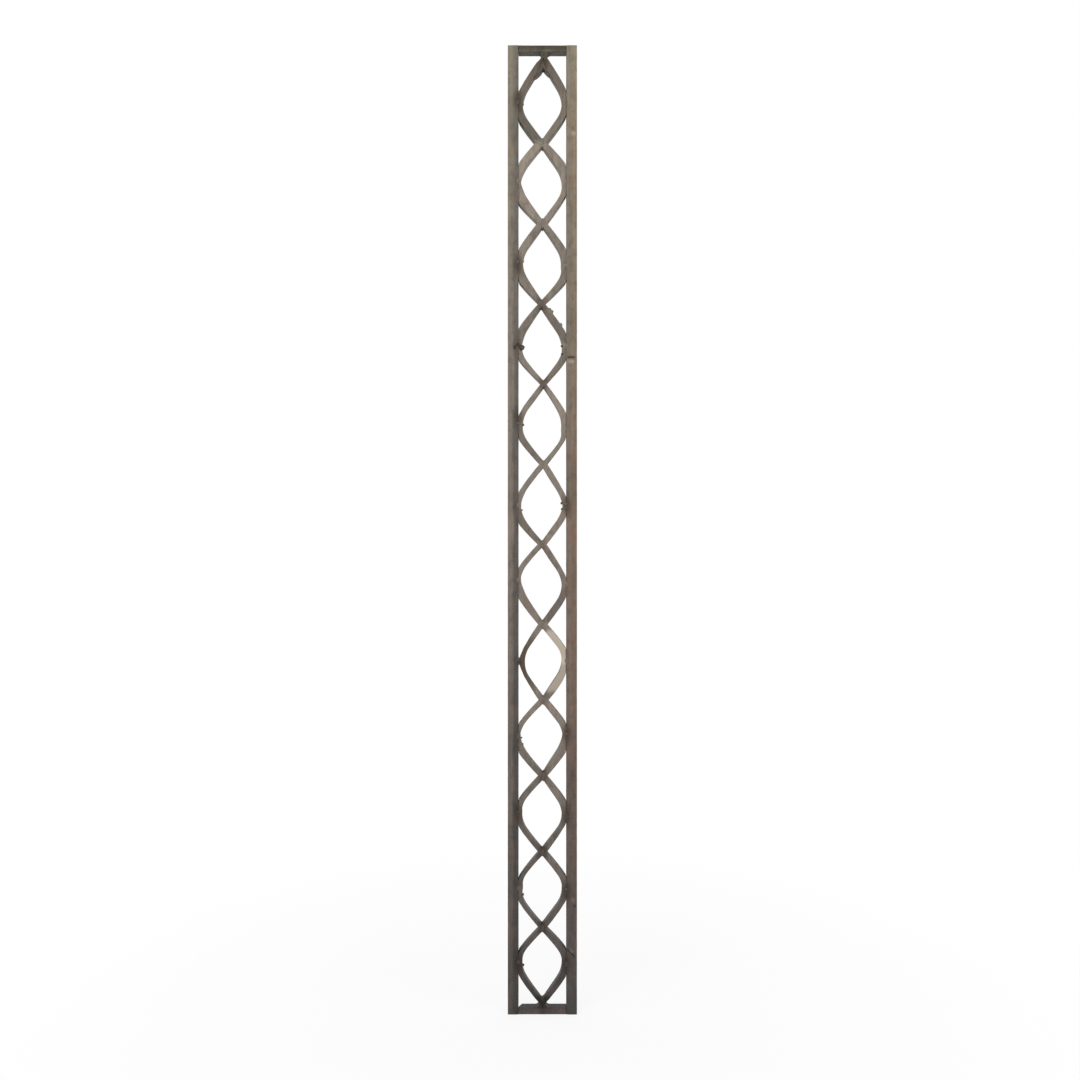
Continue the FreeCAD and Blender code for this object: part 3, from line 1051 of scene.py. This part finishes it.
class MakeContactWelds(bpy.types.Operator):
    """Lay a tack over each contact with an upright, and weld runs in the wedges beside it"""

    bl_idname = "baluster.contact_welds"
    bl_label = "Contact welds"

    # A tack's half width and half height against the bead's radius, its half depth, and how far
    # behind the bars' face its middle sits
    tack_width = 0.8
    tack_height = 1.2
    tack_depth = 0.8
    tack_sunk = 0.55
    # Where a weld run starts beside its contact, the least that it reaches, how far it stays short
    # of where the arm leaves the upright, how hollow its end is, how deep it sits in the steel, and
    # how burnt it is against its tack
    start = 1.2
    least_reach = 3.0
    held_back = 1.0
    hollow = 0.8
    overlap = 1.3
    burnt_share = 0.7

    def run(self, mesh, arm, burnt):
        """Weld run that fills the wedge between a bend and its upright, front to back."""

        def skins(height):
            gap = arm.gap(height) - arm.spread(height)
            return arm.side * (half_opening - gap - self.overlap), arm.side * (half_opening + self.overlap)

        reach = max(arm.tip - self.held_back, self.least_reach)
        first = arm.apex_z + arm.level * self.start
        last = arm.apex_z + arm.level * (reach + self.hollow)
        fill_between(mesh, first, last, skins, self.hollow, burnt, arm.cell * 2 + arm.side)

    def execute(self, context):
        radius = context.scene.baluster_sizes.contact_bead
        size = Vector((radius * self.tack_width, self.tack_depth * mm, radius * self.tack_height))
        material = weld_metal()
        arms = wave_arms(left) + wave_arms(right)
        for side, name, node in (
            (left, "left_contact_beads", "left_contact_welds"),
            (right, "right_contact_beads", "right_contact_welds"),
        ):
            mesh = bmesh.new()
            for place, (cell, across, height) in enumerate(contacts(side)):
                for face in (-1, 1):
                    seat = Vector((across, face * (panel_depth / 2 - self.tack_sunk), height)) * mm
                    lump(mesh, seat, size, from_list(burns[side], cell - 1), place + 7 * face)
            for arm in arms:
                if arm.side == side:
                    self.run(mesh, arm, self.burnt_share * from_list(burns[side], arm.cell - 1))
            finish_piece(mesh, name, material, [node])
        return {"FINISHED"}


class MakeStemWelds(bpy.types.Operator):
    """Lay the weld runs where the wave bars stand against the head bar and the foot bar"""

    bl_idname = "baluster.stem_welds"
    bl_label = "Stem welds"

    # Side, where the stem's outer face stands, and how far the run spreads along the end bar
    head_runs = [(left, -1.5, 1.2), (right, 4.6, 2.9)]
    foot_runs = [(left, -3.1, 3.6), (right, 3.1, 3.6)]
    # The runs' section: steps of its hollow curve, how far it stays behind the bars' face, how
    # deep it sits in the stem, and how burnt it is
    curve_steps = 8
    setback = 0.6
    root = 0.5
    run_burnt = 0.9
    # How the weld fills the crotch where the two bars part: how far it reaches along their inner
    # faces, how deep the pointed hollow of its end is, how far that point stands aside, how burnt
    head_crotch = (15.5, 9.2, 0.15, 0.45)
    foot_crotch = (3.2, 1.6, -0.1, 1.2)
    crotch_overlap = 0.9
    # How far on the stem's side of the spot where the bars part the weld begins
    crotch_start = 3.0

    def fillet(self, mesh, side, wall, level, seat_height, radius):
        """Hollow run in the corner between a stem and an end bar: its end face, drawn to the back."""
        layer = burnt_layer(mesh)
        half_depth = panel_depth / 2 - self.setback
        outline = []
        for step in range(self.curve_steps + 1):
            turn = math.pi / 2 * step / self.curve_steps
            outline.append((wall + side * radius * (1 - math.sin(turn)), radius * (1 - math.cos(turn))))
        inside = wall - side * self.root
        outline += [(inside, radius), (inside, 0), (wall, 0)]
        rim = []
        for across, rise in outline:
            rim.append(mesh.verts.new(Vector((across, -half_depth, seat_height + level * rise)) * mm))
        face = mesh.faces.new(rim)
        grown = bmesh.ops.extrude_face_region(mesh, geom=[face])
        moved = [part for part in grown["geom"] if isinstance(part, bmesh.types.BMVert)]
        bmesh.ops.translate(mesh, vec=(0, 2 * half_depth * mm, 0), verts=moved)
        for vert in rim + moved:
            vert[layer] = self.run_burnt

    def crotch(self, mesh, arms, filled):
        """Weld metal between the inner faces of the two bars where they part."""
        reach, hollow, lean, burnt = filled

        def skins(height):
            return sorted(arm.side * (arm.cell_reach(height) + self.crotch_overlap) for arm in arms)

        first = arms[0].corner_z + arms[0].level * self.crotch_start
        last = arms[0].corner_z - arms[0].level * reach
        fill_between(mesh, first, last, skins, hollow, burnt, 5, lean)

    def execute(self, context):
        material = weld_metal()
        bars = [wave_arms(left), wave_arms(right)]
        for name, node, runs, seat_height, end, filled in (
            ("head_stem_runs", "top_stem_welds", self.head_runs, ceiling, 0, self.head_crotch),
            ("foot_stem_runs", "bottom_stem_welds", self.foot_runs, shelf, -1, self.foot_crotch),
        ):
            mesh = bmesh.new()
            arms = [bar[end] for bar in bars]
            for side, wall, radius in runs:
                self.fillet(mesh, side, wall, -arms[0].level, seat_height, radius)
            self.crotch(mesh, arms, filled)
            finish_piece(mesh, name, material, [node])
        return {"FINISHED"}


class MakeSpatter(bpy.types.Operator):
    """Drop the knobs and spatter of weld metal that stuck to the front"""

    bl_idname = "baluster.spatter"
    bl_label = "Weld spatter"

    # Cell, outward from the bend's inner face and height above the bend in millimetres, radius,
    # how burnt
    left_beads = [
        (1, 0.2, -2.0, 1.2, 0.4), (3, 0.0, 0.5, 1.0, 0.4), (4, 1.4, -2.0, 2.7, 1.3),
        (4, 4.4, 0.6, 2.2, 1.3), (5, 0.0, -2.0, 1.2, 0.8), (6, 1.2, -4.5, 1.0, 0.4),
        (8, 5.4, -0.2, 2.3, 1.2), (9, 1.4, -1.0, 0.9, 0.6), (9, 0.4, -7.0, 1.0, 0.4),
        (11, 0.0, -5.5, 1.1, 0.6), (12, 0.0, -2.5, 1.3, 0.6),
    ]
    right_beads = [
        (4, -10.2, 31.0, 2.6, 0.1), (4, -12.0, 33.0, 2.2, 0.1), (4, -1.0, 19.3, 1.6, 0.1),
        (4, 0.2, -0.5, 1.2, 1.0), (4, 0.4, -8.0, 1.2, 1.0), (6, 0.0, 2.0, 1.3, 0.6),
        (6, 0.2, -3.5, 1.1, 0.6), (9, 7.6, 7.0, 1.0, 0.6), (10, 7.6, -0.5, 1.1, 0.6),
        (12, 9.2, 7.5, 1.4, 0.4),
    ]
    # A bead's half depth against its radius and the most that it may be, how far behind the front
    # its middle sits, and how uneven it is
    depth_share = 0.55
    most_depth = 1.0
    sunk = 0.3
    wander = 0.35

    def execute(self, context):
        material = weld_metal()
        for side, name, node, beads in (
            (left, "left_spatter", "left_weld_beads", self.left_beads),
            (right, "right_spatter", "right_weld_beads", self.right_beads),
        ):
            mesh = bmesh.new()
            apex = {cell: height for cell, _, height in contacts(side)}
            for place, (cell, outward, rise, radius, burnt) in enumerate(beads):
                reach = half_opening - slacks.get((side, cell), 0) - wave_thickness + outward
                seat = Vector((side * reach, front + self.sunk, apex[cell] + rise)) * mm
                half_depth = min(radius * self.depth_share, self.most_depth)
                size = Vector((radius, half_depth, radius)) * mm
                lump(mesh, seat, size, burnt, place + 31 * side, wander=self.wander)
            finish_piece(mesh, name, material, [node])
        return {"FINISHED"}


# Stage


def white_rays(tree):
    """1 for camera, glossy and transmission rays, 0 for the rest."""
    rays = add_node(tree, "LightPath").outputs
    seen = rays["Is Camera Ray"]
    for kind in ("Is Glossy Ray", "Is Transmission Ray"):
        seen = add_node(tree, "Math", {0: seen, 1: rays[kind]}, operation="MAXIMUM").outputs[0]
    return seen


def matt_white():
    """White for the camera and for reflections, pale and matt for all other light.

    Near the foot only a share is white, so that the floor keeps its shadow.
    """
    material = bpy.data.materials.new("matt_white_floor")
    tree = emptied_tree(material)
    matt = add_node(tree, "BsdfDiffuse", {"Color": (0.9, 0.9, 0.9, 1)})
    white = add_node(tree, "Emission", {"Color": (1, 1, 1, 1), "Strength": 1.0})
    place = add_node(tree, "TexCoord").outputs["Object"]
    distance = add_node(tree, "VectorMath", {0: place}, operation="LENGTH").outputs["Value"]
    limits = {"Value": distance, "From Min": 0.12, "From Max": 0.6, "To Min": 0.85, "To Max": 1.0}
    fade = add_node(tree, "MapRange", limits, interpolation_type="SMOOTHSTEP")
    factors = {0: white_rays(tree), 1: fade.outputs["Result"]}
    share = add_node(tree, "Math", factors, operation="MULTIPLY").outputs[0]
    mixed = add_node(tree, "MixShader", {0: share, 1: matt.outputs[0], 2: white.outputs[0]})
    add_node(tree, "OutputMaterial", {"Surface": mixed.outputs[0]})
    return material


class MakeStage(bpy.types.Operator):
    """Set the pale floor, the soft light and the camera"""

    bl_idname = "baluster.stage"
    bl_label = "Stage"

    # All in metres
    floor_half_size = 4.0
    key_place = (-1.2, -1.8, 1.9)
    fill_place = (1.6, -1.4, 1.0)
    lamp_width = 1.4
    nearest_seen = 0.01
    # In millimetres, as lenses are given
    sensor_width = 36.0

    def floor(self):
        mesh = bmesh.new()
        bmesh.ops.create_grid(mesh, x_segments=1, y_segments=1, size=self.floor_half_size)
        data = bpy.data.meshes.new("floor")
        mesh.to_mesh(data)
        mesh.free()
        data.materials.append(matt_white())
        add_object("floor", data)

    def sky(self, strength):
        world = bpy.data.worlds.new("studio")
        bpy.context.scene.world = world
        tree = emptied_tree(world)
        soft = add_node(tree, "Background", {"Color": (1, 1, 1, 1), "Strength": strength})
        white = add_node(tree, "Background", {"Color": (1, 1, 1, 1), "Strength": 1.0})
        shaders = {0: white_rays(tree), 1: soft.outputs[0], 2: white.outputs[0]}
        mixed = add_node(tree, "MixShader", shaders)
        add_node(tree, "OutputWorld", {"Surface": mixed.outputs[0]})

    def lamp(self, name, place, power):
        data = bpy.data.lights.new(name, "AREA")
        data.shape = "DISK"
        data.size = self.lamp_width
        data.energy = power
        lamp = add_object(name, data)
        lamp.location = place
        aim = Vector((0, 0, panel_height * mm / 2)) - Vector(place)
        lamp.rotation_euler = aim.to_track_quat("-Z", "Y").to_euler()

    def camera(self, stage):
        data = bpy.data.cameras.new("camera")
        data.sensor_width = self.sensor_width
        data.lens = self.sensor_width * stage.distance / stage.picture_height
        data.clip_start = self.nearest_seen
        camera = add_object("camera", data)
        camera.location = (stage.camera_side, upright_low.y - stage.distance, stage.camera_height)
        camera.rotation_euler = (math.pi / 2, 0, 0)
        bpy.context.scene.camera = camera

    def execute(self, context):
        stage = context.scene.baluster_stage
        context.scene.view_settings.view_transform = "Standard"
        self.floor()
        self.sky(stage.sky)
        self.lamp("key_lamp", self.key_place, stage.key_power)
        self.lamp("fill_lamp", self.fill_place, stage.fill_power)
        self.camera(stage)
        return {"FINISHED"}


operators = [
    MakeUprights, MakeEndBars, MakeWaveBars, MakeCrossingWelds, MakeContactWelds, MakeStemWelds,
    MakeSpatter, MakeStage,
]


class BalusterPanel(bpy.types.Panel):
    """Sizes, colours and buttons of the baluster"""

    bl_idname = "VIEW3D_PT_baluster"
    bl_label = "Iron stair baluster"
    bl_space_type = "VIEW_3D"
    bl_region_type = "UI"
    bl_category = "Baluster"

    def draw(self, context):
        scene = context.scene
        for group in (scene.baluster_sizes, scene.baluster_colours, scene.baluster_stage):
            box = self.layout.box()
            for name in group.__annotations__:
                box.prop(group, name)
        for operator in operators:
            self.layout.operator(operator.bl_idname)


groups = {
    "baluster_sizes": BalusterSizes,
    "baluster_colours": BalusterColours,
    "baluster_stage": StageSettings,
}


def register():
    for group in groups.values():
        bpy.utils.register_class(group)
    for operator in operators:
        bpy.utils.register_class(operator)
    bpy.utils.register_class(BalusterPanel)
    for name, group in groups.items():
        setattr(bpy.types.Scene, name, bpy.props.PointerProperty(type=group))


def unregister():
    for name in groups:
        delattr(bpy.types.Scene, name)
    bpy.utils.unregister_class(BalusterPanel)
    for operator in reversed(operators):
        bpy.utils.unregister_class(operator)
    for group in reversed(list(groups.values())):
        bpy.utils.unregister_class(group)


def main():
    register()
    bpy.ops.baluster.uprights()
    bpy.ops.baluster.end_bars()
    bpy.ops.baluster.wave_bars()
    bpy.ops.baluster.crossing_welds()
    bpy.ops.baluster.contact_welds()
    bpy.ops.baluster.stem_welds()
    bpy.ops.baluster.spatter()
    bpy.ops.baluster.stage()


if __name__ == "__main__":
    main()
